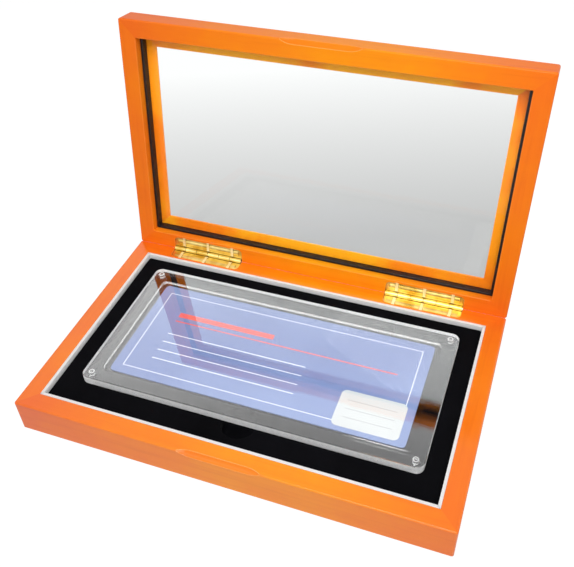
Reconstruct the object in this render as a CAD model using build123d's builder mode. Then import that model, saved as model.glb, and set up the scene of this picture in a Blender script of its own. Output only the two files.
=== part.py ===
from build123d import *
import os

# Wooden display box for one large banknote, standing open with its glazed lid leaning back.
# Origin at the centre of the base's underside, +X to the right, +Y towards the hinges, +Z up.
# Every length is in millimetres and every angle in degrees.

# Printed card for one large note, which the whole box is built round, and the label on it
card_w = 190.5
card_d = 82.5
card_t = 0.5
card_r = 3.0
label_w = 40.5
label_d = 27.5
label_t = 0.15
label_r = 3.5
label_end_gap = 5.0
label_front_gap = 3.4

# Clear two-part holder with the card's pocket and its snap posts
pocket_gap_w = 3.75
pocket_gap_d = 2.25
pocket_r = 3.5
pocket_depth = 1.4
cover_depth = 0.8
slab_rim_w = 9.5
slab_rim_d = 10.25
slab_half_t = 3.0
slab_corner_r = 5.0
slab_edge = 0.3
post_r = 1.7
post_play = 0.05
post_end_gap = 0.2
post_floor = 0.6
post_inset = 5.5

# Velvet pad, its recess for the holder, the thumb hole, and how far the holder lies off the middle
pad_margin_w = 13.2
pad_margin_d = 15.45
pad_drop = 3.0
pad_gap = 0.3
pad_edge_r = 0.8
recess_depth = 1.6
recess_gap = 0.4
thumb_r = 10.75
thumb_depth = 8.0
slab_x = 1.3
slab_y = 2.4

# White card liner standing round the inside
liner_t = 1.8
liner_drop = 0.1

# Base frame, and the bottom panel let into its rabbet from below
base_h = 24.0
wall_t = 11.5
panel_t = 4.0
rabbet_w = 5.0
panel_gap = 0.2

# Lid, from its inner face outwards: bare wood, bead, glass, lip
bead_inset = 5.5
bead_h = 5.0
bead_t = 1.8
glass_t = 2.0
glass_gap = 0.3
lip_t = 3.5
lip_w = 8.0
lip_edge = 1.0

# Easing of the wooden edges
corner_r = 1.5
arris_r = 1.0
foot_bevel = 0.8
lid_top_arris_r = 1.2
inner_arris_r = 0.5

# Finger scoop in the front edges of base and lid: a round cutter's straight run, and the arc and
# angle through which it leaves the wood at each end
scoop_run = 33.0
scoop_r = 6.0
scoop_out = 2.6
scoop_exit_r = 16.5
scoop_exit_angle = 40.0

# How far the lid stands open, and the gap that the hinges leave when it is shut
open_angle = 98.0
closed_gap = 0.5

# Hinges: one leaf on the base, one on the lid, three knuckles each on a common pin
hinge_end = 55.2
knuckles = 6
knuckle_len = 8.8
knuckle_gap = 0.3
barrel_r = 1.7
pin_r = 0.8
pin_play = 0.05
pin_short = 0.2
axis_inset = 0.74
leaf_w = 9.5
leaf_t = 0.9
leaf_corner_r = 3.0
leaf_play = 0.3
mortise_gap = 0.2
barrel_relief = 0.3
ridge_w = 4.0
ridge_h = 0.5
ridge_end = 2.6

# Flat wire staples that hold each leaf, driven through it and past its outer edge
staple_w = 2.0
staple_t = 0.6
staple_reach = 0.9
staple_len = 6.5
staple_bend = 0.35
staple_pitch = 19.0

# Positions that follow from the sizes above
pocket_w = card_w + 2 * pocket_gap_w
pocket_d = card_d + 2 * pocket_gap_d
slab_w = pocket_w + 2 * slab_rim_w
slab_d = pocket_d + 2 * slab_rim_d
room_w = slab_w + 2 * (pad_margin_w + liner_t)
room_d = slab_d + 2 * (pad_margin_d + liner_t)
box_w = room_w + 2 * wall_t
box_d = room_d + 2 * wall_t
half_w = box_w / 2
half_d = box_d / 2
lid_z = base_h + closed_gap
bead_z = lid_z + bead_inset
glass_z = bead_z + bead_h
lip_z = glass_z + glass_t
lid_top_z = lip_z + lip_t
axis_y = half_d - axis_inset
axis_z = base_h + closed_gap / 2
pad_top = base_h - pad_drop
slab_z = pad_top - recess_depth
parting_z = slab_z + slab_half_t
card_z = parting_z - pocket_depth
post_len = slab_half_t - post_floor - post_end_gap
label_x = slab_x + card_w / 2 - label_end_gap - label_w / 2
label_y = slab_y - card_d / 2 + label_front_gap + label_d / 2
hinge_len = knuckles * knuckle_len
hinge_xs = (hinge_end - half_w, half_w - hinge_end)
leaf_front_y = half_d - leaf_w
leaf_rear_y = axis_y - barrel_r - leaf_play
ridge_y = (leaf_front_y + leaf_rear_y) / 2
staple_xs = (-staple_pitch, 0.0, staple_pitch)
sides = ("front", "rear", "left", "right")

os.makedirs("parts", exist_ok=True)


# The lid's parts are drawn as if closed, then turned about the hinge axis to the open stop
swing = (
    Location((0, axis_y, axis_z))
    * Location((0, 0, 0), (-open_angle, 0, 0))
    * Location((0, -axis_y, -axis_z))
)


def fixed(plane):
    return plane


def swung(plane):
    return Plane(swing * plane.location)


# Outline of the part of the plan that belongs to one rail of a mitred frame
def mitre(side):
    reach = 2 * wall_t
    out_w, out_d = half_w + reach, half_d + reach
    in_w, in_d = half_w - reach, half_d - reach
    sign = -1 if side in ("front", "left") else 1
    if side in ("front", "rear"):
        return [
            (-out_w, sign * out_d),
            (out_w, sign * out_d),
            (in_w, sign * in_d),
            (-in_w, sign * in_d),
        ]
    return [
        (sign * out_w, -out_d),
        (sign * out_w, out_d),
        (sign * in_w, in_d),
        (sign * in_w, -in_d),
    ]


# One side of a ring, cut out along its mitres between two heights
def mitred(ring, side, place, low, high):
    with BuildPart() as piece:
        with BuildSketch(place(Plane.XY.offset(low))):
            Polygon(*mitre(side), align=None)
        extrude(amount=high - low)
        add(ring, mode=Mode.INTERSECT)
    return piece.part


# Cutter's sweep that takes the finger scoop out of a front edge whose corner is at the given
# height. It runs along the edge and swings straight out of it at both ends.
def scoop(edge_z, sign, place):
    start = (0, -half_d - scoop_out, edge_z + sign * scoop_out)
    with BuildPart() as tool:
        with BuildLine(place(Plane(start, (1, 0, 0), (0, -sign, -1)))) as path:
            run = Line((-scoop_run / 2, 0), (scoop_run / 2, 0))
            JernArc(run @ 1, run % 1, scoop_exit_r, scoop_exit_angle)
            JernArc(run @ 0, -(run % 0), scoop_exit_r, -scoop_exit_angle)
        with BuildSketch(Plane(path.wire() @ 0, z_dir=path.wire() % 0)):
            Circle(scoop_r)
        sweep(path=path.wire())
    return tool.part


# Outline of one hinge leaf seen from above, grown by a gap for its mortise
def leaf_outline(centre_x, gap):
    front = leaf_front_y - gap
    back = half_d + leaf_corner_r + gap
    with BuildSketch() as outline:
        with Locations((centre_x, (front + back) / 2)):
            RectangleRounded(hinge_len + 2 * gap, back - front, leaf_corner_r)
    return outline.sketch


# The three staples of one leaf. The sign is -1 under the hinge axis, in the base, and 1 over it,
# in the closed lid. Each staple's crown lies on the leaf and its legs point into the wood.
def staples(centre_x, place, sign):
    under_z = axis_z + sign * (barrel_r - leaf_t)
    crown_z = under_z - sign * staple_t
    tip_z = crown_z + sign * staple_len
    shoulder_z = tip_z - sign * staple_t
    out_y = leaf_front_y - staple_reach
    in_y = leaf_rear_y - leaf_play
    with BuildPart() as wires:
        for x in staple_xs:
            with BuildSketch(place(Plane.YZ.offset(centre_x + x - staple_w / 2))) as bent:
                with BuildLine():
                    Polyline(
                        (out_y, crown_z),
                        (in_y, crown_z),
                        (in_y, tip_z),
                        (in_y - staple_t, shoulder_z),
                        (in_y - staple_t, under_z),
                        (out_y + staple_t, under_z),
                        (out_y + staple_t, shoulder_z),
                        (out_y, tip_z),
                        close=True,
                    )
                make_face()
                bends = bent.vertices().sort_by(Axis.Y)
                chamfer(bends[:2] if sign > 0 else bends[-2:], staple_bend)
            extrude(amount=staple_w)
    return wires.part


# Room for both hinges in a rear rail: leaf mortises, barrel relief and the staples' own holes
def hinge_room(place, sign):
    seat = place(Plane.XY.offset(axis_z + sign * barrel_r))
    with BuildPart() as room:
        for centre_x in hinge_xs:
            with BuildSketch(seat):
                add(leaf_outline(centre_x, mortise_gap))
            extrude(amount=-sign * barrel_r)
            length = hinge_len + 2 * barrel_relief
            with BuildSketch(place(Plane.YZ.offset(centre_x - length / 2))):
                with Locations((axis_y, axis_z)):
                    Circle(barrel_r + barrel_relief)
            extrude(amount=length)
            add(staples(centre_x, place, sign))
    return room.part


# One hinge leaf with the knuckles whose numbers are given, counted from the left
def hinge_leaf(centre_x, place, sign, own, bore_r):
    seat_z = axis_z + sign * barrel_r
    face_z = seat_z - sign * leaf_t
    left_x = centre_x - hinge_len / 2
    with BuildPart() as leaf:
        with BuildSketch(place(Plane.XY.offset(seat_z))):
            add(leaf_outline(centre_x, 0))
            with Locations((centre_x, axis_y + half_d)):
                Rectangle(box_w, box_d, mode=Mode.SUBTRACT)
        extrude(amount=-sign * leaf_t)
        # Long convex ridge on the leaf's face
        with BuildSketch(place(Plane.YZ.offset(left_x + ridge_end))):
            with BuildLine():
                ThreePointArc(
                    (ridge_y - ridge_w / 2, face_z),
                    (ridge_y, face_z - sign * ridge_h),
                    (ridge_y + ridge_w / 2, face_z),
                )
                Line((ridge_y + ridge_w / 2, face_z), (ridge_y - ridge_w / 2, face_z))
            make_face()
        extrude(amount=hinge_len - 2 * ridge_end)
        # Room for the barrel, then this leaf's own knuckles in it
        with BuildSketch(place(Plane.YZ.offset(left_x))):
            with Locations((axis_y, axis_z)):
                Circle(barrel_r + leaf_play)
        extrude(amount=hinge_len, mode=Mode.SUBTRACT)
        for number in own:
            start = left_x + number * knuckle_len + knuckle_gap / 2
            with BuildSketch(place(Plane.YZ.offset(start))):
                with Locations((axis_y, axis_z)):
                    Circle(barrel_r)
                with Locations(((leaf_rear_y + axis_y) / 2, seat_z - sign * leaf_t / 2)):
                    Rectangle(axis_y - leaf_rear_y, leaf_t)
            extrude(amount=knuckle_len - knuckle_gap)
        with BuildSketch(place(Plane.YZ.offset(left_x))):
            with Locations((axis_y, axis_z)):
                Circle(bore_r)
        extrude(amount=hinge_len, mode=Mode.SUBTRACT)
        add(staples(centre_x, place, sign), mode=Mode.SUBTRACT)
    return leaf.part


# Base frame in one ring, with the rabbet for the bottom panel
with BuildPart() as base_ring:
    with BuildSketch(Plane.XY):
        RectangleRounded(box_w, box_d, corner_r)
    extrude(amount=base_h)
    with BuildSketch(Plane.XY):
        Rectangle(room_w, room_d)
    extrude(amount=base_h, mode=Mode.SUBTRACT)
    top = base_ring.faces().sort_by(Axis.Z)[-1]
    fillet(top.outer_wire().edges(), arris_r)
    top = base_ring.faces().sort_by(Axis.Z)[-1]
    fillet(top.inner_wires()[0].edges(), inner_arris_r)
    under = base_ring.faces().sort_by(Axis.Z)[0]
    chamfer(under.outer_wire().edges(), foot_bevel)
    with BuildSketch(Plane.XY):
        Rectangle(room_w + 2 * rabbet_w, room_d + 2 * rabbet_w)
    extrude(amount=panel_t, mode=Mode.SUBTRACT)

# Lid frame in one ring, drawn closed, with the lip that carries the glass
with BuildPart() as lid_ring:
    with BuildSketch(Plane.XY.offset(lid_z)):
        RectangleRounded(box_w, box_d, corner_r)
    extrude(amount=lid_top_z - lid_z)
    with BuildSketch(Plane.XY.offset(lid_z)):
        Rectangle(room_w - 2 * lip_w, room_d - 2 * lip_w)
    extrude(amount=lid_top_z - lid_z, mode=Mode.SUBTRACT)
    top = lid_ring.faces().sort_by(Axis.Z)[-1]
    fillet(top.outer_wire().edges(), lid_top_arris_r)
    top = lid_ring.faces().sort_by(Axis.Z)[-1]
    chamfer(top.inner_wires()[0].edges(), lip_t - lip_edge)
    with BuildSketch(Plane.XY.offset(lid_z)):
        Rectangle(room_w, room_d)
    extrude(amount=lip_z - lid_z, mode=Mode.SUBTRACT)
    under = lid_ring.faces().sort_by(Axis.Z)[0]
    fillet(under.outer_wire().edges(), arris_r)
    under = lid_ring.faces().sort_by(Axis.Z)[0]
    fillet(under.inner_wires()[0].edges(), inner_arris_r)

lid_ring_open = swing * lid_ring.part

# Base rails: scoop in the front one, hinge mortises in the rear one
for side in sides:
    with BuildPart() as rail:
        add(mitred(base_ring.part, side, fixed, 0, base_h))
        if side == "front":
            add(scoop(base_h, 1, fixed), mode=Mode.SUBTRACT)
        if side == "rear":
            add(hinge_room(fixed, -1), mode=Mode.SUBTRACT)
    rail.part.label = f"base_{side}_rail"
    export_step(rail.part, f"parts/base_{side}_rail.step")

# Lid rails: scoop and mortises face those of the base when the lid is shut
for side in sides:
    with BuildPart() as rail:
        add(mitred(lid_ring_open, side, swung, lid_z, lid_top_z))
        if side == "front":
            add(scoop(lid_z, -1, swung), mode=Mode.SUBTRACT)
        if side == "rear":
            add(hinge_room(swung, 1), mode=Mode.SUBTRACT)
    rail.part.label = f"lid_{side}_rail"
    export_step(rail.part, f"parts/lid_{side}_rail.step")

# Bottom panel
with BuildPart() as base_bottom_panel:
    with BuildSketch(Plane.XY):
        Rectangle(room_w + 2 * (rabbet_w - panel_gap), room_d + 2 * (rabbet_w - panel_gap))
    extrude(amount=panel_t)
base_bottom_panel.part.label = "base_bottom_panel"
export_step(base_bottom_panel.part, "parts/base_bottom_panel.step")

# White liner, four strips mitred at the corners
with BuildPart() as liner_ring:
    with BuildSketch(Plane.XY.offset(panel_t)):
        Rectangle(room_w, room_d)
        Rectangle(room_w - 2 * liner_t, room_d - 2 * liner_t, mode=Mode.SUBTRACT)
    extrude(amount=base_h - liner_drop - panel_t)

for side in sides:
    with BuildPart() as liner:
        add(mitred(liner_ring.part, side, fixed, panel_t, base_h))
    liner.part.label = f"liner_{side}"
    export_step(liner.part, f"parts/liner_{side}.step")

# Velvet pad with the shallow recess for the note holder and a round thumb hole at its front
with BuildPart() as velvet_pad:
    with BuildSketch(Plane.XY.offset(panel_t)):
        inset = liner_t + pad_gap
        Rectangle(room_w - 2 * inset, room_d - 2 * inset)
    extrude(amount=pad_top - panel_t)
    fillet(velvet_pad.faces().sort_by(Axis.Z)[-1].outer_wire().edges(), pad_edge_r)
    with BuildSketch(Plane.XY.offset(slab_z)):
        with Locations((slab_x, slab_y)):
            RectangleRounded(slab_w + 2 * recess_gap, slab_d + 2 * recess_gap, slab_corner_r)
    extrude(amount=recess_depth, mode=Mode.SUBTRACT)
    with BuildSketch(Plane.XY.offset(pad_top - thumb_depth)):
        with Locations((0, slab_y - slab_d / 2)):
            Circle(thumb_r)
    extrude(amount=thumb_depth, mode=Mode.SUBTRACT)
velvet_pad.part.label = "velvet_pad"
export_step(velvet_pad.part, "parts/velvet_pad.step")

# Lid glass, lying on the lip
with BuildPart() as lid_glass:
    with BuildSketch(swung(Plane.XY.offset(glass_z))):
        Rectangle(room_w - 2 * glass_gap, room_d - 2 * glass_gap)
    extrude(amount=glass_t)
lid_glass.part.label = "lid_glass"
export_step(lid_glass.part, "parts/lid_glass.step")

# Black glazing beads that hold the glass, four strips mitred at the corners
with BuildPart() as bead_ring:
    with BuildSketch(swung(Plane.XY.offset(bead_z))):
        Rectangle(room_w, room_d)
        Rectangle(room_w - 2 * bead_t, room_d - 2 * bead_t, mode=Mode.SUBTRACT)
    extrude(amount=bead_h)

for side in sides:
    with BuildPart() as bead:
        add(mitred(bead_ring.part, side, swung, bead_z, glass_z))
    bead.part.label = f"glazing_bead_{side}"
    export_step(bead.part, f"parts/glazing_bead_{side}.step")

# Hinges: the lid's leaf has the first, third and fifth knuckle, the base's leaf the others
lid_knuckles = range(0, knuckles, 2)
base_knuckles = range(1, knuckles, 2)
for hand, centre_x in zip(("left", "right"), hinge_xs):
    with BuildPart() as base_leaf:
        add(hinge_leaf(centre_x, fixed, -1, base_knuckles, pin_r))
    base_leaf.part.label = f"hinge_{hand}_base_leaf"
    export_step(base_leaf.part, f"parts/hinge_{hand}_base_leaf.step")

    with BuildPart() as lid_leaf:
        add(hinge_leaf(centre_x, swung, 1, lid_knuckles, pin_r + pin_play))
    lid_leaf.part.label = f"hinge_{hand}_lid_leaf"
    export_step(lid_leaf.part, f"parts/hinge_{hand}_lid_leaf.step")

    with BuildPart() as pin:
        with BuildSketch(Plane.YZ.offset(centre_x - hinge_len / 2 + pin_short)):
            with Locations((axis_y, axis_z)):
                Circle(pin_r)
        extrude(amount=hinge_len - 2 * pin_short)
    pin.part.label = f"hinge_{hand}_pin"
    export_step(pin.part, f"parts/hinge_{hand}_pin.step")

# Hinge staples, one group in the base and one in the lid
with BuildPart() as base_hinge_staples:
    for centre_x in hinge_xs:
        add(staples(centre_x, fixed, -1))
base_hinge_staples.part.label = "base_hinge_staples"
export_step(base_hinge_staples.part, "parts/base_hinge_staples.step")

with BuildPart() as lid_hinge_staples:
    for centre_x in hinge_xs:
        add(staples(centre_x, swung, 1))
lid_hinge_staples.part.label = "lid_hinge_staples"
export_step(lid_hinge_staples.part, "parts/lid_hinge_staples.step")

# Rear half of the note holder, with the card's pocket and the sockets for the posts
post_w = slab_w - 2 * post_inset
post_d = slab_d - 2 * post_inset
with BuildPart() as slab_rear_half:
    with BuildSketch(Plane.XY.offset(slab_z)):
        with Locations((slab_x, slab_y)):
            RectangleRounded(slab_w, slab_d, slab_corner_r)
    extrude(amount=slab_half_t)
    chamfer(slab_rear_half.faces().sort_by(Axis.Z)[0].outer_wire().edges(), slab_edge)
    with BuildSketch(Plane.XY.offset(card_z)):
        with Locations((slab_x, slab_y)):
            RectangleRounded(pocket_w, pocket_d, pocket_r)
    extrude(amount=pocket_depth, mode=Mode.SUBTRACT)
    with BuildSketch(Plane.XY.offset(parting_z)):
        with Locations((slab_x, slab_y)):
            with GridLocations(post_w, post_d, 2, 2):
                Circle(post_r + post_play)
    extrude(amount=-(post_len + post_end_gap), mode=Mode.SUBTRACT)
slab_rear_half.part.label = "slab_rear_half"
export_step(slab_rear_half.part, "parts/slab_rear_half.step")

# Front half of the note holder, with its window recess and the four posts
with BuildPart() as slab_front_half:
    with BuildSketch(Plane.XY.offset(parting_z)):
        with Locations((slab_x, slab_y)):
            RectangleRounded(slab_w, slab_d, slab_corner_r)
    extrude(amount=slab_half_t)
    chamfer(slab_front_half.faces().sort_by(Axis.Z)[-1].outer_wire().edges(), slab_edge)
    with BuildSketch(Plane.XY.offset(parting_z)):
        with Locations((slab_x, slab_y)):
            RectangleRounded(pocket_w, pocket_d, pocket_r)
    extrude(amount=cover_depth, mode=Mode.SUBTRACT)
    with BuildSketch(Plane.XY.offset(parting_z)):
        with Locations((slab_x, slab_y)):
            with GridLocations(post_w, post_d, 2, 2):
                Circle(post_r)
    extrude(amount=-post_len)
slab_front_half.part.label = "slab_front_half"
export_step(slab_front_half.part, "parts/slab_front_half.step")

# Printed card in the pocket, and the label on it
with BuildPart() as insert_card:
    with BuildSketch(Plane.XY.offset(card_z)):
        with Locations((slab_x, slab_y)):
            RectangleRounded(card_w, card_d, card_r)
    extrude(amount=card_t)
insert_card.part.label = "insert_card"
export_step(insert_card.part, "parts/insert_card.step")

with BuildPart() as card_label:
    with BuildSketch(Plane.XY.offset(card_z + card_t)):
        with Locations((label_x, label_y)):
            RectangleRounded(label_w, label_d, label_r)
    extrude(amount=label_t)
card_label.part.label = "card_label"
export_step(card_label.part, "parts/card_label.step")
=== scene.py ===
import math

import bmesh
import bpy
from mathutils import Matrix, Vector, noise


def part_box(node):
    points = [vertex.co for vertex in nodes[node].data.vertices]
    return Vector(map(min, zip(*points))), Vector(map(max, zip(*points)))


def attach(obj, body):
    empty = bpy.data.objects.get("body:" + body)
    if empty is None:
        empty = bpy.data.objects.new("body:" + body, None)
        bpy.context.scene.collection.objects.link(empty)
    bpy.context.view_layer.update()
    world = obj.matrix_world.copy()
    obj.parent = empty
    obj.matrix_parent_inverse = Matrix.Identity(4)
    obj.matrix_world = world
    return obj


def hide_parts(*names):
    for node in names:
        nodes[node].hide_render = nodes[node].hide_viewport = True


# Looks of a wooden banknote display box that stands open, in metres, in the frame of its solids.

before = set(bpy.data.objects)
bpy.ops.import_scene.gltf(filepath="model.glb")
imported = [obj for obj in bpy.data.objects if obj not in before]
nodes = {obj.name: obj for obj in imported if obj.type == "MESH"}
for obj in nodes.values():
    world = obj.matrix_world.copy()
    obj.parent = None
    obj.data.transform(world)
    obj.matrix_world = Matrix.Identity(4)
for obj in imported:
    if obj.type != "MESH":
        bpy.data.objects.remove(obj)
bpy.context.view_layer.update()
scene = bpy.context.scene
MM = 0.001
SIDES = ("front", "rear", "left", "right")
HOLDER_HALVES = ("slab_rear_half", "slab_front_half")

# Camera, solved from the photograph's straight edges
CAMERA_TARGET = Vector((-1.879, 40.0, 53.02)) * MM
CAMERA_AZIMUTH = math.radians(21.946)
CAMERA_ELEVATION = math.radians(41.959)
CAMERA_ROLL = math.radians(-2.749)
CAMERA_DISTANCE = 498.896 * MM
CAMERA_LENS = 48.70
CAMERA_SENSOR = 36.0

# Lamps: where each stands, the point it faces, its size, and its brightness, where 1 looks white
KEY_LAMP = {
    "place": (0.14, -0.27, 0.66),
    "target": (0.0, 0.04, 0.06),
    "size": (0.5, 0.4),
    "radiance": 4.7,
}
FRONT_LAMP = {
    "place": (0.30, -1.20, 0.55),
    "target": (0.0, 0.1, 0.1),
    "size": (0.6, 0.5),
    "radiance": 2.6,
}

# The sky's strength as a light, and its brightness where it is seen: a peak, and shares of it by
# the sine of the elevation
SKY_LIGHT = 0.45
SKY_PEAK = 2.05
SKY_BAND = ((0.45, 0.49), (0.60, 1.0), (0.68, 0.93), (0.81, 0.47))

# The floor's colour, and its glow where it is seen, with that glow's share beside the lamps' light
FLOOR_HALF = 6.0
FLOOR_DROP = 0.1 * MM
FLOOR_COLOUR = (0.50, 0.50, 0.50)
FLOOR_GLOW = 1.38
FLOOR_GLOW_SHARE = 0.65

# Through glass the floor carries a painted shadow, grey by the box and pale beyond, over these
# distances along the view
FLOOR_SHADOW_NEAR = 0.56
FLOOR_FAR = 1.02
FLOOR_BEHIND = (0.147, 0.440)
FLOOR_AHEAD = (-0.35, -0.05)

# The lid stands open by this angle about the hinge line
LID_ANGLE = math.radians(98.0)
HINGE_LINE = (0.0, 81.76 * MM, 24.25 * MM)

# Half the lid's inside in plan, where the painted light on the ledge round the glass begins, a
# yellower colour that stands in for the light there, and how much of that painted light the long
# and the short rails take
LEDGE_HALF = (123.4 * MM, 70.9 * MM)
LEDGE_BLEND = 0.3 * MM
LEDGE_LIGHT_LONG = 0.8
LEDGE_LIGHT_SHORT = 0.45

# Heights with the lid shut: the seam between base and lid, and the range where the ledge's painted
# light ends below the lid's outer face
SEAM_HEIGHT = 24.0 * MM
LEDGE_TOP = (39.2 * MM, 39.8 * MM)

# A finger scoop fades out this far along a long rail from its middle, and begins this far across
# from the middle of the box
SCOOP_REACH = (26.0 * MM, 30.0 * MM)
SCOOP_DEPTH = (74.0 * MM, 76.0 * MM)
SCOOP_REDDER = 0.4

# The scoop's lips take the arrises' painted highlight this near the seam, and this much more of it
# than other arrises
LIP_WIDTH = (0.8 * MM, 1.6 * MM)
LIP_HIGHLIGHT = 1.6

# The mitres run where a point lies this much further from the middle along X than along Y, and the
# paler arrises, partly wear and partly a painted highlight, stop short of them
MITRE_SHIFT = 52.5 * MM
MITRE_CLEAR = (1.0 * MM, 2.0 * MM)
ARRIS_WEAR_AND_HIGHLIGHT = 0.6
ARRIS_RADIUS = 0.8 * MM

# Half a rail's length, the stain's tone in its middle, and how far along its yellowest place lies
LONG_RAIL = {"half_length": 135.0 * MM, "middle_tone": 0.54, "crest": 0.16}
SHORT_RAIL = {"half_length": 82.5 * MM, "middle_tone": 0.26, "crest": 0.0}

# The tone at a rail's ends, the share of its half length round the crest where the tone is even,
# and how much yellower the base's long rails are at their right end
END_TONE = 0.15
EVEN_SHARE = 0.25
BASE_LEAN = 0.05

# Lacquer on the base, and the thinner one on the lid
BASE_COAT = 0.65
LID_COAT = 0.2

# Noise cells per metre along X, Y and Z, for grain that runs one way
WOOD_STREAKS = (10.0, 260.0, 260.0)
WOOD_PORES = (60.0, 1700.0, 1700.0)
VELVET_NAP = (60.0, 9.0, 30.0)
BRASS_GRAIN = (140.0, 2400.0, 2400.0)

# Width of the note holder's rim outside its pocket, along X and along Y
RIM_WIDTH = 9.5 * MM
RIM_DEPTH = 10.25 * MM
RIM_BLEND = (0.5 * MM, 1.0 * MM)

# The holder's posts stand this far in from its edges, and each shows as a frosted ring on the top
POST_INSET = 5.5 * MM
RING_RADIUS = 1.5 * MM
RING_WIDTH = (0.35 * MM, 0.6 * MM)
SIDE_HAZE = 0.7
RING_HAZE = 0.3
FROST_CLEARNESS = 0.52
STYRENE_IOR = 1.59

# The window's glass mirrors less than bare glass would
WINDOW_IOR = 1.25

# Edges are eased by these widths, and the holder's faces drawn in so that no two of them coincide
HOLDER_EASE = 0.22 * MM
HOLDER_DRAW_IN = 0.03 * MM
BEAD_EASE = 0.3 * MM
EASE_ANGLE = math.radians(40)
WELD_DISTANCE = 0.001 * MM

# The velvet's soft shoulders, the grid that lets it be uneven, how uneven it is, in how many waves
# per metre, and how far above the pad's underside that begins
VELVET_SHOULDER = 0.9 * MM
VELVET_CELL = 6.0 * MM
VELVET_UNEVEN = 0.10 * MM
VELVET_WAVES = 90.0
VELVET_FROM = 2.0 * MM
FLAT_ANGLE = math.radians(1)
SHARP_ANGLE = math.radians(35)

# Print, in mm: the edging's distance from the card's edge and its line, then bars by their offset
# from the middle and their size
EDGING_INSET = 6.5
EDGING_LINE = 0.5
CARD_WHITE_BARS = [((-26.0, -1.0 - 7.5 * step), (96.0, 0.6)) for step in range(4)]
CARD_CORAL_BARS = [((-40.0, 17.0), (68.0, 4.2)), ((2.0, 11.0), (152.0, 0.9))]
LABEL_RULES = [((0.0, 6.5 * step), (30.0, 0.4)) for step in (-1, 0, 1)]

# Linear colours
WHITE = (1.0, 1.0, 1.0)
WOOD_RED = (0.90, 0.145, 0.010)
WOOD_ORANGE = (0.96, 0.215, 0.007)
WOOD_YELLOW = (0.99, 0.330, 0.004)
WOOD_WORN_AND_LIT = (1.0, 0.480, 0.120)
WOOD_SHADE = (0.95, 0.92, 0.88)
LEDGE_LIT_YELLOW = (1.0, 0.470, 0.016)
LEDGE_LIT_DEEP = (0.95, 0.260, 0.010)
BOARD_DARK = (0.16, 0.085, 0.035)
BOARD_PALE = (0.30, 0.17, 0.08)
BOARD_STAIN = (0.25, 0.14, 0.065)
VELVET_DEEP = (0.0010, 0.0010, 0.0014)
VELVET_LIT = (0.0036, 0.0036, 0.0050)
BEAD_DARK = (0.006, 0.006, 0.007)
BEAD_LIGHT = (0.014, 0.014, 0.016)
BEAD_WORN_AND_LIT = (0.09, 0.08, 0.075)
BRASS_SHADE = (0.17, 0.09, 0.006)
BRASS_DEEP = (0.74, 0.50, 0.10)
BRASS_PALE = (0.95, 0.76, 0.28)
STAPLE_DEEP = (0.95, 0.80, 0.42)
STAPLE_PALE = (1.0, 0.90, 0.58)
CARD_DEEP = (0.160, 0.210, 0.405)
CARD_PALE = (0.215, 0.275, 0.475)
CARD_CORAL = (0.78, 0.12, 0.11)
CARD_WHITE = (0.80, 0.82, 0.88)
LINER_SHADE = (0.8835, 0.8835, 0.8742)
LINER_WHITE = (0.95, 0.95, 0.94)
LABEL_SHADE = (0.5452, 0.5640, 0.5640)
LABEL_WHITE = (0.58, 0.60, 0.60)
LABEL_GREY = (0.36, 0.37, 0.39)
GLASS_TINT = (0.97, 0.985, 0.98)
STYRENE_TINT = (0.985, 0.99, 0.99)


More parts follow.
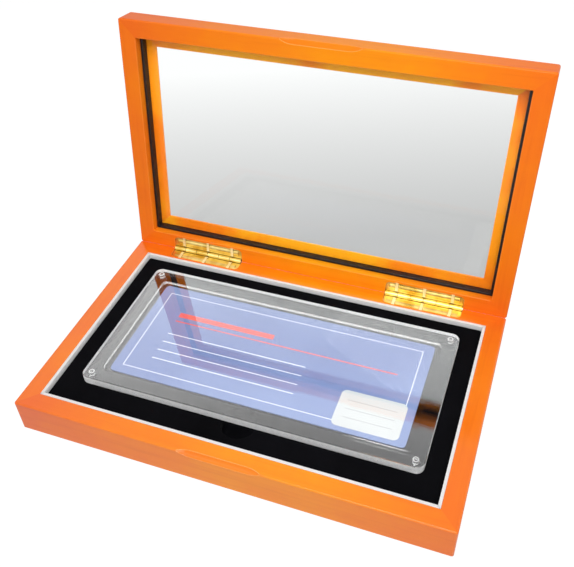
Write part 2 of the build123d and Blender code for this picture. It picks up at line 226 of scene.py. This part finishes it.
class NodeTree:
    """A tree of shader nodes, with short calls for the nodes that are used here."""

    def __init__(self, tree):
        self.nodes = tree.nodes
        self.links = tree.links

    def add(self, kind, **settings):
        node = self.nodes.new(kind)
        for key, value in settings.items():
            setattr(node, key, value)
        return node

    def feed(self, socket, source):
        if isinstance(source, bpy.types.NodeSocket):
            self.links.new(source, socket)
        elif socket.type == "RGBA" and len(source) == 3:
            socket.default_value = (*source, 1.0)
        else:
            socket.default_value = source

    def math(self, operation, a, b=0.0):
        node = self.add("ShaderNodeMath", operation=operation)
        self.feed(node.inputs[0], a)
        self.feed(node.inputs[1], b)
        return node.outputs[0]

    def plus(self, a, b):
        return self.math("ADD", a, b)

    def minus(self, a, b):
        return self.math("SUBTRACT", a, b)

    def times(self, a, b):
        return self.math("MULTIPLY", a, b)

    def larger(self, a, b):
        return self.math("MAXIMUM", a, b)

    def absolute(self, a):
        return self.math("ABSOLUTE", a)

    def total(self, *parts):
        """The sum of values, each given with its weight."""
        result = None
        for value, weight in parts:
            part = self.times(value, weight)
            result = part if result is None else self.plus(result, part)
        return result

    def place(self):
        return self.add("ShaderNodeTexCoord").outputs["Object"]

    def normal(self):
        return self.add("ShaderNodeTexCoord").outputs["Normal"]

    def rays(self):
        return self.add("ShaderNodeLightPath").outputs

    def turned(self, vector, axis, angle, centre=(0.0, 0.0, 0.0)):
        node = self.add("ShaderNodeVectorRotate", rotation_type=axis)
        self.feed(node.inputs["Vector"], vector)
        self.feed(node.inputs["Center"], centre)
        self.feed(node.inputs["Angle"], angle)
        return node.outputs[0]

    def axes(self, vector):
        node = self.add("ShaderNodeSeparateXYZ")
        self.feed(node.inputs[0], vector)
        return node.outputs

    def noise(self, vector, scale=1.0, detail=4.0, roughness=0.5, distortion=0.0, stretch=None):
        """Noise by cells per metre: one number for all ways, or a stretch along X, Y and Z."""
        if stretch:
            stretched = self.add("ShaderNodeVectorMath", operation="MULTIPLY")
            self.feed(stretched.inputs[0], vector)
            self.feed(stretched.inputs[1], stretch)
            vector = stretched.outputs[0]
        node = self.add("ShaderNodeTexNoise")
        self.feed(node.inputs["Vector"], vector)
        node.inputs["Scale"].default_value = scale
        node.inputs["Detail"].default_value = detail
        node.inputs["Roughness"].default_value = roughness
        node.inputs["Distortion"].default_value = distortion
        return node.outputs["Fac"]

    def spread(self, value, low, high, to_low=0.0, to_high=1.0):
        """Maps a range of a value onto another range, and holds it inside that."""
        node = self.add("ShaderNodeMapRange", clamp=True)
        self.feed(node.inputs["Value"], value)
        self.feed(node.inputs["From Min"], low)
        self.feed(node.inputs["From Max"], high)
        self.feed(node.inputs["To Min"], to_low)
        self.feed(node.inputs["To Max"], to_high)
        return node.outputs[0]

    def ramp(self, value, *stops):
        node = self.add("ShaderNodeValToRGB")
        self.feed(node.inputs[0], value)
        elements = node.color_ramp.elements
        while len(elements) < len(stops):
            elements.new(0.5)
        for element, (place, colour) in zip(elements, stops):
            element.position = place
            element.color = (*colour, 1.0)
        return node.outputs[0]

    def mix(self, factor, a, b, blend="MIX"):
        node = self.add("ShaderNodeMix", data_type="RGBA", blend_type=blend)
        self.feed(node.inputs["Factor"], factor)
        self.feed(node.inputs[6], a)
        self.feed(node.inputs[7], b)
        return node.outputs[2]

    def off_centre(self, vector, centre):
        """How far a point lies from a centre, along X and along Y."""
        axes = self.axes(vector)
        pairs = ((axes["X"], centre[0]), (axes["Y"], centre[1]))
        return [self.absolute(self.minus(value, middle)) for value, middle in pairs]

    def outside(self, off, half):
        """How far a point lies outside a rectangle of these half sizes, less than 0 inside."""
        return self.larger(*[self.minus(distance, length) for distance, length in zip(off, half)])


class Material(NodeTree):
    """A procedural material round one Principled shader."""

    def __init__(self, name):
        self.data = bpy.data.materials.new(name)
        self.data.use_nodes = True
        super().__init__(self.data.node_tree)
        self.shader = self.nodes["Principled BSDF"]
        self.surface = self.nodes["Material Output"].inputs["Surface"]

    def set(self, **values):
        for key, value in values.items():
            self.feed(self.shader.inputs[key.replace("_", " ")], value)

    def bump(self, height, strength, depth):
        node = self.add("ShaderNodeBump")
        node.inputs["Strength"].default_value = strength
        node.inputs["Distance"].default_value = depth
        self.feed(node.inputs["Height"], height)
        return node.outputs[0]

    def edges(self, radius):
        """How near a point lies to a sharp edge, from 0 on the flat to 1 on the edge."""
        rounded = self.add("ShaderNodeBevel", samples=4)
        rounded.inputs["Radius"].default_value = radius
        flat = self.add("ShaderNodeNewGeometry").outputs["Normal"]
        node = self.add("ShaderNodeVectorMath", operation="DOT_PRODUCT")
        self.feed(node.inputs[0], rounded.outputs[0])
        self.feed(node.inputs[1], flat)
        return self.spread(node.outputs["Value"], 1.0, 0.85)

    def blend_in(self, share, other):
        """Shows another shader in place of the main one, by a share."""
        both = self.add("ShaderNodeMixShader")
        self.feed(both.inputs[0], share)
        self.feed(both.inputs[1], self.shader.outputs[0])
        self.feed(both.inputs[2], other.outputs[0])
        self.feed(self.surface, both.outputs[0])

    def lamps_pass(self, colour):
        """Lets shadow rays through a clear material, tinted by its colour."""
        through = self.add("ShaderNodeBsdfTransparent")
        self.feed(through.inputs["Color"], colour)
        self.blend_in(self.rays()["Is Shadow Ray"], through)


def plan(corners):
    """The middle and the size of a box, seen from above, from its lowest and highest corner."""
    low, high = corners
    middle = ((low[0] + high[0]) / 2, (low[1] + high[1]) / 2)
    return middle, (high[0] - low[0], high[1] - low[1])


def as_shut(wood, vector, lid, centre=(0.0, 0.0, 0.0)):
    """A place or a direction on the base or the lid, as it is with the lid shut."""
    return wood.turned(vector, "X_AXIS", LID_ANGLE, centre) if lid else vector


def stain_tone(wood, along, half_length, middle_tone, crest, lean):
    """The stain's tone by the place along a rail, yellower round the crest than at the ends."""
    # From -1 at one end of the rail to 1 at the other, then from 0 at the crest to 1 at both ends
    share = wood.math("DIVIDE", along, half_length)
    bow = wood.minus(1.0, wood.times(share, share))
    from_crest = wood.absolute(wood.minus(share, wood.times(bow, crest)))
    tone = wood.spread(from_crest, EVEN_SHARE, 1.0, middle_tone, END_TONE)
    return wood.plus(tone, wood.times(share, lean))


def ledge_light_mask(wood, off, height, amount):
    """Painted light on the ledge round the glass, on the lid's inner side only."""
    ledge = wood.spread(wood.outside(off, LEDGE_HALF), -LEDGE_BLEND, LEDGE_BLEND, amount, 0.0)
    return wood.times(ledge, wood.spread(height, *LEDGE_TOP, 1.0, 0.0))


def scoop_masks(wood, off, height, facing):
    """The hollow of a finger scoop, by its slanting faces, and a painted highlight on its lips by
    the seam.
    """
    along, across = off
    near_middle = wood.spread(along, *SCOOP_REACH, 1.0, 0.0)
    by_scoop = wood.times(near_middle, wood.spread(across, *SCOOP_DEPTH))
    square = wood.larger(wood.absolute(facing["Y"]), wood.absolute(facing["Z"]))
    hollow = wood.times(by_scoop, wood.spread(square, 0.980, 0.995, SCOOP_REDDER, 0.0))
    from_seam = wood.absolute(wood.minus(height, SEAM_HEIGHT))
    return hollow, wood.times(by_scoop, wood.spread(from_seam, *LIP_WIDTH, LIP_HIGHLIGHT, 0.0))


def rail_wood(name, across, lid, half_length, middle_tone, crest, lean=0.0):
    """Lacquered wood with its grain along one rail, yellower toward the rail's middle."""
    wood = Material(name)
    shut = as_shut(wood, wood.place(), lid, HINGE_LINE)
    place = wood.turned(shut, "Z_AXIS", math.radians(-90)) if across else shut
    off = wood.off_centre(shut, (0.0, 0.0))
    height = wood.axes(shut)["Z"]
    streaks = wood.noise(place, detail=6.0, roughness=0.6, distortion=0.4, stretch=WOOD_STREAKS)
    pores = wood.noise(place, detail=3.0, stretch=WOOD_PORES)
    clouds = wood.noise(place, 22.0, detail=3.0, distortion=0.3)
    mottle = wood.noise(place, 130.0, detail=2.0)

    stain = stain_tone(wood, wood.axes(place)["X"], half_length, middle_tone, crest, lean)
    tone = wood.total((clouds, 0.35), (mottle, 0.10), (streaks, 0.12), (stain, 1.0))
    colour = wood.ramp(tone, (0.32, WOOD_RED), (0.62, WOOD_ORANGE), (0.95, WOOD_YELLOW))
    if lid:
        # Painted light: the ledge round the glass is yellower, more on the long rails than the
        # short ones
        ledge = ledge_light_mask(wood, off, height, LEDGE_LIGHT_SHORT if across else LEDGE_LIGHT_LONG)
        yellow = wood.ramp(clouds, (0.40, LEDGE_LIT_DEEP), (0.58, LEDGE_LIT_YELLOW))
        colour = wood.mix(ledge, colour, yellow)
    shade = wood.ramp(streaks, (0.30, WOOD_SHADE), (0.48, WHITE))
    colour = wood.mix(1.0, colour, shade, blend="MULTIPLY")

    # Arrises are paler, partly from wear and partly as a painted highlight, except near the mitres
    from_mitre = wood.absolute(wood.minus(wood.minus(*off), MITRE_SHIFT))
    rubbed_and_lit = wood.spread(from_mitre, *MITRE_CLEAR, 0.0, ARRIS_WEAR_AND_HIGHLIGHT)
    wear_and_highlight = wood.times(wood.edges(ARRIS_RADIUS), rubbed_and_lit)
    if not across:
        # The finger scoop's slanting faces are redder, and its lips take more of the painted
        # highlight
        facing = wood.axes(as_shut(wood, wood.normal(), lid))
        hollow, lip_highlight = scoop_masks(wood, off, height, facing)
        colour = wood.mix(hollow, colour, WOOD_RED)
        wear_and_highlight = wood.times(wear_and_highlight, wood.plus(lip_highlight, 1.0))

    rough = wood.total((streaks, 0.10), (mottle, 0.16), (clouds, 0.22))
    relief = wood.total((streaks, 0.5), (pores, 0.5))
    wood.set(
        Base_Color=wood.mix(wear_and_highlight, colour, WOOD_WORN_AND_LIT),
        Roughness=wood.plus(rough, 0.14),
        Normal=wood.bump(relief, 0.08, 0.05 * MM),
        Specular_IOR_Level=0.02,
        Coat_Weight=LID_COAT if lid else BASE_COAT,
        Coat_Roughness=wood.times(rough, 0.6),
    )
    return wood.data


def fibreboard():
    """Bare brown board."""
    board = Material("fibreboard")
    place = board.place()
    fibres = board.noise(place, 900.0, detail=5.0, roughness=0.6, distortion=0.5)
    clouds = board.noise(place, 25.0, detail=3.0)
    colour = board.ramp(fibres, (0.3, BOARD_DARK), (0.7, BOARD_PALE))
    board.set(
        Base_Color=board.mix(board.spread(clouds, 0.3, 0.7, 0.2, 0.6), colour, BOARD_STAIN),
        Roughness=board.spread(fibres, 0.3, 0.7, 0.7, 0.9),
        Normal=board.bump(fibres, 0.3, 0.1 * MM),
    )
    return board.data


def liner_card():
    """White card that lets some light through."""
    card = Material("liner_card")
    place = card.place()
    fibres = card.noise(place, 1400.0, roughness=0.6)
    clouds = card.noise(place, 30.0, detail=2.0)
    tone = card.total((fibres, 0.5), (clouds, 0.5))
    card.set(
        Base_Color=card.ramp(tone, (0.35, LINER_SHADE), (0.65, LINER_WHITE)),
        Roughness=card.spread(fibres, 0.3, 0.7, 0.55, 0.7),
        Normal=card.bump(fibres, 0.15, 0.02 * MM),
        Subsurface_Weight=0.7,
        Subsurface_Radius=(1.0, 1.0, 1.0),
        Subsurface_Scale=2.5 * MM,
    )
    return card.data


def black_velvet():
    """Black pile with a brushed nap."""
    velvet = Material("black_velvet")
    place = velvet.place()
    pile = velvet.noise(place, 2600.0, detail=2.0, roughness=0.6)
    nap = velvet.noise(place, detail=3.0, distortion=0.6, stretch=VELVET_NAP)
    clouds = velvet.noise(place, 28.0, detail=3.0, distortion=0.4)
    tone = velvet.total((pile, 0.4), (nap, 0.35), (clouds, 0.25))
    velvet.set(
        Base_Color=velvet.ramp(tone, (0.38, VELVET_DEEP), (0.62, VELVET_LIT)),
        Roughness=velvet.spread(pile, 0.3, 0.7, 0.88, 1.0),
        Normal=velvet.bump(pile, 0.5, 0.12 * MM),
        Specular_IOR_Level=0.05,
        Sheen_Weight=0.02,
        Sheen_Roughness=0.35,
    )
    return velvet.data


def black_bead():
    """Black paint, paler at the edges, partly from wear and partly as a painted highlight."""
    bead = Material("black_bead")
    place = bead.place()
    grain = bead.noise(place, 1800.0, detail=3.0)
    smears = bead.noise(place, 45.0, detail=3.0)
    paint = bead.ramp(smears, (0.3, BEAD_DARK), (0.7, BEAD_LIGHT))
    # Paler edges: wear and a painted highlight
    bead.set(
        Base_Color=bead.mix(bead.times(bead.edges(0.3 * MM), 0.5), paint, BEAD_WORN_AND_LIT),
        Roughness=bead.spread(smears, 0.3, 0.7, 0.28, 0.42),
        Normal=bead.bump(grain, 0.12, 0.02 * MM),
        Specular_IOR_Level=0.3,
    )
    return bead.data


def brass(name, deep, pale, rough):
    """Plated brass, with painted shade in the gaps between knuckles, leaves and staples."""
    metal = Material(name)
    place = metal.place()
    drawn = metal.noise(place, detail=3.0, stretch=BRASS_GRAIN)
    patches = metal.noise(place, 120.0, detail=2.0, distortion=0.4)
    # Painted shade: ambient occlusion darkens the colour towards BRASS_SHADE in the crevices
    gaps = metal.add("ShaderNodeAmbientOcclusion", samples=8)
    gaps.inputs["Distance"].default_value = 1.0 * MM
    unshaded_share = metal.spread(gaps.outputs["AO"], 0.35, 0.85)
    plate = metal.ramp(patches, (0.35, deep), (0.60, pale))
    metal.set(
        Base_Color=metal.mix(unshaded_share, BRASS_SHADE, plate),
        Roughness=metal.spread(patches, 0.3, 0.7, rough - 0.05, rough + 0.05),
        Normal=metal.bump(drawn, 0.04, 0.02 * MM),
        Metallic=1.0,
    )
    return metal.data


def window_glass():
    """Thin clear glass with faint smears."""
    pane = Material("window_glass")
    smears = pane.noise(pane.place(), 45.0, roughness=0.6, distortion=0.5)
    pane.set(
        Base_Color=GLASS_TINT,
        Roughness=pane.spread(smears, 0.5, 0.8, 0.0, 0.005),
        Transmission_Weight=1.0,
        IOR=WINDOW_IOR,
    )
    pane.lamps_pass(GLASS_TINT)
    return pane.data


def clear_styrene():
    """Clear moulded plastic with bright hazy outer sides and a frosted ring over each post."""
    slab = Material("clear_styrene")
    place = slab.place()
    facing = slab.axes(slab.normal())
    middle, size = plan(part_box("slab_rear_half"))
    half = (size[0] / 2, size[1] / 2)
    off = slab.off_centre(place, middle)

    past_pocket = slab.outside(off, (half[0] - RIM_WIDTH, half[1] - RIM_DEPTH))
    upright = slab.spread(slab.absolute(facing["Z"]), 0.2, 0.6, 1.0, 0.0)
    side = slab.times(slab.spread(past_pocket, *RIM_BLEND), upright)
    long_side = slab.times(side, slab.spread(slab.absolute(facing["Y"]), 0.3, 0.7))

    from_post = [slab.minus(distance, length - POST_INSET) for distance, length in zip(off, half)]
    radius = slab.math("SQRT", slab.plus(*[slab.times(part, part) for part in from_post]))
    off_ring = slab.absolute(slab.minus(radius, RING_RADIUS))
    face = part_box("slab_front_half")[1][2]
    on_face = slab.spread(slab.axes(place)["Z"], face - 0.5 * MM, face - 0.3 * MM)
    ring = slab.times(on_face, slab.spread(off_ring, *RING_WIDTH, 1.0, 0.0))

    smears = slab.noise(place, 45.0, roughness=0.6, distortion=0.5)
    haze = slab.larger(slab.times(side, SIDE_HAZE), slab.times(ring, RING_HAZE))
    slab.set(
        Base_Color=STYRENE_TINT,
        Roughness=slab.larger(slab.spread(smears, 0.5, 0.8, 0.0, 0.008), haze),
        IOR=STYRENE_IOR,
        Transmission_Weight=slab.spread(slab.larger(side, ring), 0.0, 1.0, 1.0, FROST_CLEARNESS),
        Sheen_Weight=long_side,
        Sheen_Roughness=0.6,
    )
    slab.lamps_pass(STYRENE_TINT)
    return slab.data


def bar(material, place, centre, size, line=0.0):
    """A mask for a bar on a flat sheet, or for its outline where a line width is given."""
    off = material.off_centre(place, centre)
    reach = material.outside(off, (size[0] / 2, size[1] / 2))
    if line:
        reach = material.minus(material.absolute(reach), line / 2)
    return material.math("LESS_THAN", reach, 0.0)


def print_bars(material, place, middle, bars):
    """A mask for several bars, each given in mm as an offset from the middle and a size."""
    mask = None
    for offset, size in bars:
        centre = (middle[0] + offset[0] * MM, middle[1] + offset[1] * MM)
        mark = bar(material, place, centre, (size[0] * MM, size[1] * MM))
        mask = mark if mask is None else material.larger(mask, mark)
    return mask


def printed_card():
    """Blue insert card with plain white rules and a thin edging, a coral bar and a coral rule."""
    card = Material("printed_card")
    place = card.place()
    middle, size = plan(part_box("insert_card"))
    fibres = card.noise(place, 1500.0, detail=3.0)
    clouds = card.noise(place, 9.0, detail=2.0)
    blue = card.ramp(clouds, (0.38, CARD_DEEP), (0.62, CARD_PALE))
    inner = (size[0] - 2 * EDGING_INSET * MM, size[1] - 2 * EDGING_INSET * MM)
    edging = bar(card, place, middle, inner, EDGING_LINE * MM)
    white = card.larger(edging, print_bars(card, place, middle, CARD_WHITE_BARS))
    coral = print_bars(card, place, middle, CARD_CORAL_BARS)
    card.set(
        Base_Color=card.mix(coral, card.mix(white, blue, CARD_WHITE), CARD_CORAL),
        Roughness=card.spread(fibres, 0.3, 0.7, 0.35, 0.5),
        Normal=card.bump(fibres, 0.1, 0.02 * MM),
    )
    return card.data


def label_paper():
    """White sticker with three thin writing rules."""
    paper = Material("label_paper")
    place = paper.place()
    middle, _ = plan(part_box("card_label"))
    fibres = paper.noise(place, 1200.0, roughness=0.6)
    white = paper.ramp(fibres, (0.35, LABEL_SHADE), (0.65, LABEL_WHITE))
    rules = print_bars(paper, place, middle, LABEL_RULES)
    paper.set(
        Base_Color=paper.mix(rules, white, LABEL_GREY),
        Roughness=paper.spread(fibres, 0.3, 0.7, 0.4, 0.55),
        Normal=paper.bump(fibres, 0.1, 0.02 * MM),
    )
    return paper.data


def dress(material, *names):
    """Gives a material to nodes of the frame."""
    for name in names:
        slots = nodes[name].data.materials
        slots.clear()
        slots.append(material)


def dress_frame():
    """Base and lid rails, the bottom, the liners and the beads round the glass."""
    base_long = rail_wood("wood_base_long", across=False, lid=False, lean=BASE_LEAN, **LONG_RAIL)
    dress(base_long, "base_front_rail", "base_rear_rail")
    base_short = rail_wood("wood_base_short", across=True, lid=False, **SHORT_RAIL)
    dress(base_short, "base_left_rail", "base_right_rail")
    lid_long = rail_wood("wood_lid_long", across=False, lid=True, **LONG_RAIL)
    dress(lid_long, "lid_front_rail", "lid_rear_rail")
    lid_short = rail_wood("wood_lid_short", across=True, lid=True, **SHORT_RAIL)
    dress(lid_short, "lid_left_rail", "lid_right_rail")
    dress(fibreboard(), "base_bottom_panel")
    dress(liner_card(), *[f"liner_{side}" for side in SIDES])
    dress(black_bead(), *[f"glazing_bead_{side}" for side in SIDES])
    dress(window_glass(), "lid_glass")


def dress_hinges():
    """Leaves and pins, and the paler staples that hold them."""
    hinge_nodes = [name for name in nodes if name.startswith("hinge")]
    dress(brass("brass", BRASS_DEEP, BRASS_PALE, rough=0.32), *hinge_nodes)
    staples = brass("staple_brass", STAPLE_DEEP, STAPLE_PALE, rough=0.55)
    dress(staples, "base_hinge_staples", "lid_hinge_staples")


def dress_holder():
    """The clear halves, and the card with its label."""
    dress(clear_styrene(), *HOLDER_HALVES)
    dress(printed_card(), "insert_card")
    dress(label_paper(), "card_label")


def ease_edges(name, width, draw_in=0.0):
    """Rounds a node's sharp edges, draws its faces in and evens its shading, by modifiers."""
    modifiers = nodes[name].modifiers
    weld = modifiers.new("weld", "WELD")
    weld.merge_threshold = WELD_DISTANCE
    ease = modifiers.new("ease", "BEVEL")
    ease.width = width
    ease.segments = 2
    ease.limit_method = "ANGLE"
    ease.angle_limit = EASE_ANGLE
    if draw_in:
        thinner = modifiers.new("draw_in", "DISPLACE")
        thinner.strength = -draw_in
        thinner.mid_level = 0.0
    modifiers.new("level", "WEIGHTED_NORMAL")


def velvet_pad():
    """Velvet laid over the board: soft shoulders at every edge and a slightly uneven nap."""
    low, high = (Vector(corner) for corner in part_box("velvet_pad"))
    form = bmesh.new()
    form.from_mesh(nodes["velvet_pad"].data)
    bmesh.ops.remove_doubles(form, verts=form.verts, dist=WELD_DISTANCE)
    bmesh.ops.dissolve_limit(form, angle_limit=FLAT_ANGLE, verts=form.verts, edges=form.edges)
    sharp = [edge for edge in form.edges if edge.calc_face_angle(0) > SHARP_ANGLE]
    bmesh.ops.bevel(
        form, geom=sharp, offset=VELVET_SHOULDER, segments=4, profile=0.5, affect="EDGES"
    )
    for axis in (0, 1):
        normal = Vector((axis == 0, axis == 1, 0))
        cut = low[axis] + VELVET_CELL
        while cut < high[axis]:
            everything = form.verts[:] + form.edges[:] + form.faces[:]
            bmesh.ops.bisect_plane(form, geom=everything, plane_co=normal * cut, plane_no=normal)
            cut += VELVET_CELL
    for vertex in form.verts:
        if vertex.co.z > low.z + VELVET_FROM:
            vertex.co.z += VELVET_UNEVEN * noise.noise(vertex.co * VELVET_WAVES) - VELVET_UNEVEN
    bmesh.ops.triangulate(form, faces=form.faces)
    mesh = bpy.data.meshes.new("velvet_pad_cloth")
    form.to_mesh(mesh)
    form.free()
    mesh.shade_smooth()
    mesh.materials.append(black_velvet())
    pad = bpy.data.objects.new("velvet_pad_cloth", mesh)
    scene.collection.objects.link(pad)
    pad.modifiers.new("level", "WEIGHTED_NORMAL")
    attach(pad, "base")
    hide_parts("velvet_pad")


def aim_camera():
    """Looks from where the photograph was taken."""
    level = math.cos(CAMERA_ELEVATION)
    away = Vector((
        math.sin(CAMERA_AZIMUTH) * level,
        -math.cos(CAMERA_AZIMUTH) * level,
        math.sin(CAMERA_ELEVATION),
    ))
    right = (-away).cross(Vector((0, 0, 1))).normalized()
    up = right.cross(-away)
    rolled_right = math.cos(CAMERA_ROLL) * right + math.sin(CAMERA_ROLL) * up
    rolled_up = math.cos(CAMERA_ROLL) * up - math.sin(CAMERA_ROLL) * right
    data = bpy.data.cameras.new("camera")
    data.sensor_width = CAMERA_SENSOR
    data.lens = CAMERA_LENS
    camera = bpy.data.objects.new("camera", data)
    axes = Matrix((rolled_right, rolled_up, away)).transposed().to_4x4()
    camera.matrix_world = Matrix.Translation(CAMERA_TARGET + CAMERA_DISTANCE * away) @ axes
    scene.collection.objects.link(camera)
    scene.camera = camera


def softbox(name, place, target, size, radiance):
    """A rectangular lamp that the camera doesn't see."""
    data = bpy.data.lights.new(name, "AREA")
    data.shape = "RECTANGLE"
    data.size, data.size_y = size
    data.energy = radiance * math.pi * size[0] * size[1]
    lamp = bpy.data.objects.new(name, data)
    lamp.location = place
    lamp.rotation_euler = (Vector(target) - Vector(place)).to_track_quat("-Z", "Y").to_euler()
    lamp.visible_camera = False
    scene.collection.objects.link(lamp)


def light_world():
    """Even light; where it is seen, straight, in gloss or through glass, white with a band."""
    world = bpy.data.worlds.new("world")
    scene.world = world
    world.use_nodes = True
    sky = NodeTree(world.node_tree)
    background = sky.nodes["Background"].inputs
    sky.feed(background["Color"], WHITE)
    rays = sky.rays()
    seen = sky.larger(rays["Is Camera Ray"], rays["Is Glossy Ray"])
    seen = sky.larger(seen, rays["Is Transmission Ray"])
    height = sky.axes(sky.add("ShaderNodeTexCoord").outputs["Generated"])["Z"]
    band = sky.ramp(height, *[(place, (share, share, share)) for place, share in SKY_BAND])
    bright = sky.times(band, SKY_PEAK)
    sky.feed(background["Strength"], sky.spread(seen, 0.0, 1.0, SKY_LIGHT, bright))


def floor_paint():
    """White where it is seen, but with the shadow; through glass it carries a painted shadow that
    greys towards the box.
    """
    paint = Material("floor")
    paint.set(Base_Color=FLOOR_COLOUR, Roughness=0.9)
    # Painted shadow: for rays through glass the floor's glow dims towards the box, behind it and
    # ahead of it
    away = paint.axes(paint.turned(paint.place(), "Z_AXIS", -CAMERA_AZIMUTH))["Y"]
    behind = paint.spread(away, *FLOOR_BEHIND, FLOOR_SHADOW_NEAR, FLOOR_FAR)
    ahead = paint.spread(away, *FLOOR_AHEAD, FLOOR_FAR, FLOOR_SHADOW_NEAR)
    grey = paint.larger(behind, ahead)
    rays = paint.rays()
    through = rays["Is Transmission Ray"]
    seen = paint.larger(rays["Is Camera Ray"], rays["Is Glossy Ray"])
    glow = paint.add("ShaderNodeEmission")
    dimmed = paint.times(through, paint.minus(grey, FLOOR_GLOW))
    paint.feed(glow.inputs["Strength"], paint.plus(FLOOR_GLOW, dimmed))
    paint.blend_in(paint.larger(paint.times(seen, FLOOR_GLOW_SHARE), through), glow)
    return paint.data


def lay_floor():
    """A wide floor just under the box."""
    mesh = bpy.data.meshes.new("floor")
    signs = ((-1, -1), (1, -1), (1, 1), (-1, 1))
    corners = [(x * FLOOR_HALF, y * FLOOR_HALF, 0) for x, y in signs]
    mesh.from_pydata(corners, [], [(0, 1, 2, 3)])
    mesh.materials.append(floor_paint())
    floor = bpy.data.objects.new("floor", mesh)
    floor.location.z = -FLOOR_DROP
    scene.collection.objects.link(floor)


dress_frame()
dress_hinges()
dress_holder()
for half in HOLDER_HALVES:
    ease_edges(half, HOLDER_EASE, draw_in=HOLDER_DRAW_IN)
for side in SIDES:
    ease_edges(f"glazing_bead_{side}", BEAD_EASE)
velvet_pad()

aim_camera()
light_world()
lay_floor()
softbox("key", **KEY_LAMP)
softbox("front", **FRONT_LAMP)
scene.view_settings.view_transform = "Standard"
